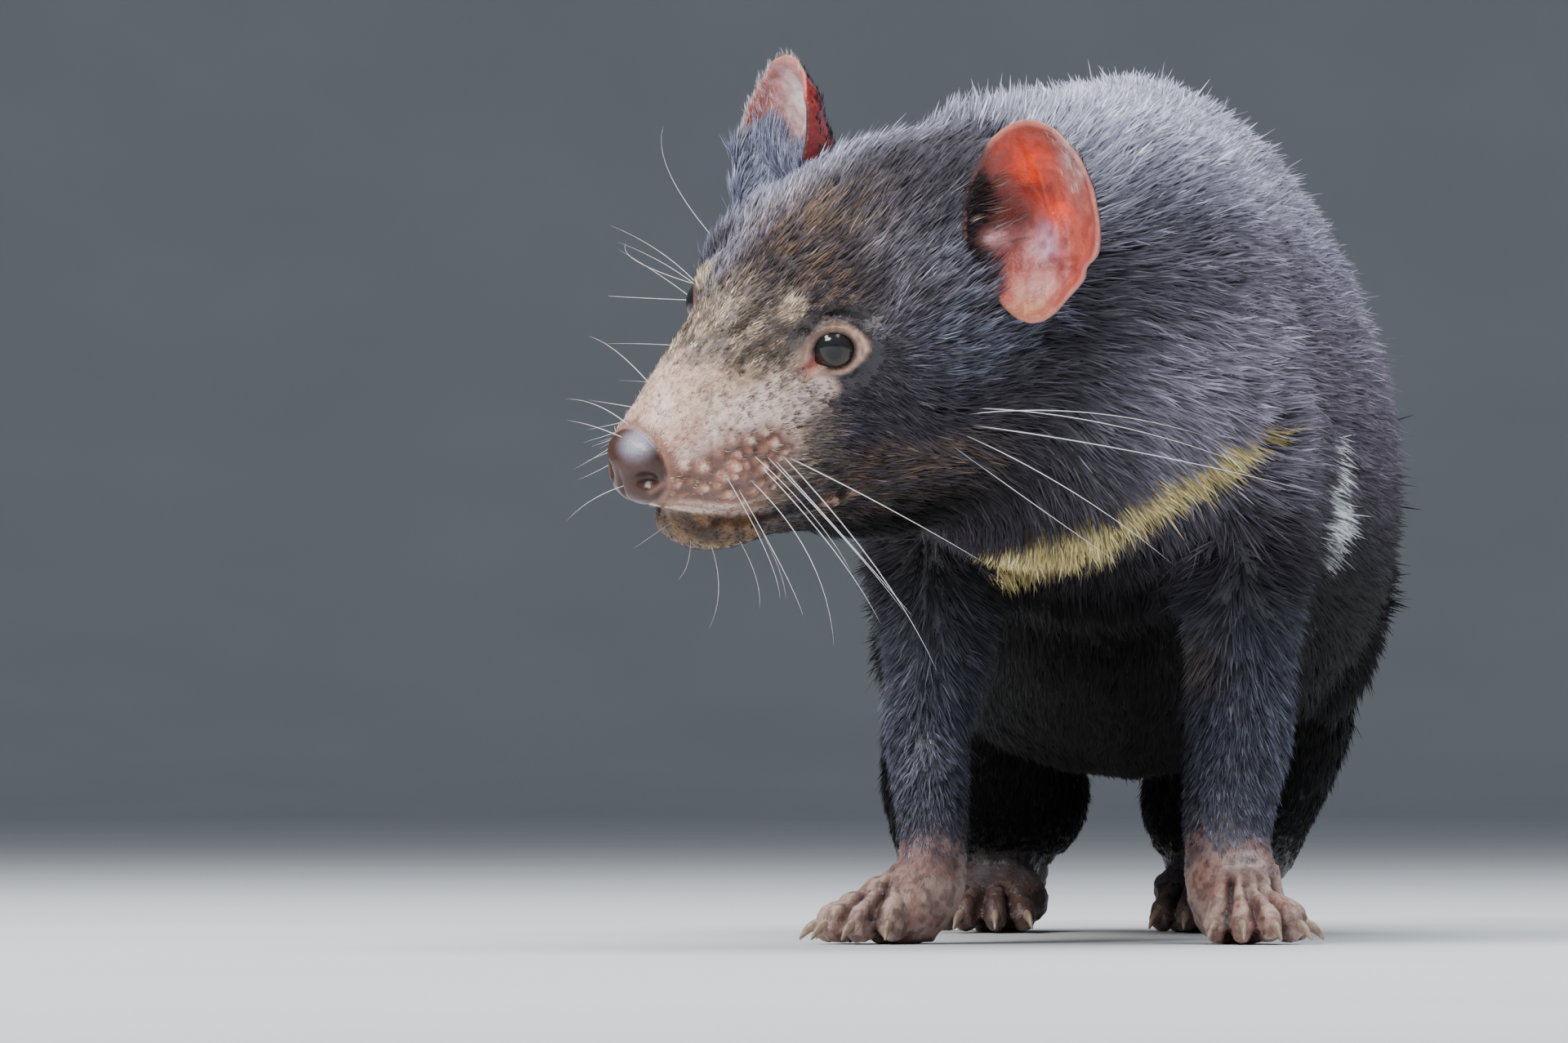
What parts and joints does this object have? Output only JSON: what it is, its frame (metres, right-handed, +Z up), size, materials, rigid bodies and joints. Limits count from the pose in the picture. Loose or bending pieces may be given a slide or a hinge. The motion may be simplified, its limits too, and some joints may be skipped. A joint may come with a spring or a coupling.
{
  "type": "tasmanian devil",
  "caption": "Life-size model of a standing Tasmanian devil with a stout body, round ears, a thick tail, and its large head lowered and turned to its right.",
  "frame": {"origin": "middle of the bounding box's bottom face, on the ground under the belly", "axes": "+Z up; the body's length runs along Y and the animal faces -Y; +X is its left side"},
  "size_m": [0.2282, 0.7214, 0.2768],
  "materials": {
    "coat": "short dense fur",
    "face": "short fur and skin",
    "foot": "wrinkled skin and thin fur",
    "ear": "thin bare skin",
    "eye": "wet gloss",
    "claw": "dull horn"
  },
  "bodies": {
    "root": {"front_left_claw_1": "claw", "front_left_claw_2": "claw", "front_left_claw_3": "claw", "front_left_claw_4": "claw", "front_left_claw_5": "claw", "front_left_lower_leg": "coat", "front_left_paw": "foot", "front_left_upper_leg": "coat", "front_right_claw_1": "claw", "front_right_claw_2": "claw", "front_right_claw_3": "claw", "front_right_claw_4": "claw", "front_right_claw_5": "claw", "front_right_lower_leg": "coat", "front_right_paw": "foot", "front_right_upper_leg": "coat", "head": "face", "hind_left_claw_1": "claw", "hind_left_claw_2": "claw", "hind_left_claw_3": "claw", "hind_left_claw_4": "claw", "hind_left_lower_leg": "coat", "hind_left_paw": "foot", "hind_left_upper_leg": "coat", "hind_right_claw_1": "claw", "hind_right_claw_2": "claw", "hind_right_claw_3": "claw", "hind_right_claw_4": "claw", "hind_right_lower_leg": "coat", "hind_right_paw": "foot", "hind_right_upper_leg": "coat", "left_ear": "ear", "left_eye": "eye", "neck": "coat", "right_ear": "ear", "right_eye": "eye", "tail": "coat", "torso": "coat"}
  },
  "joints": []
}
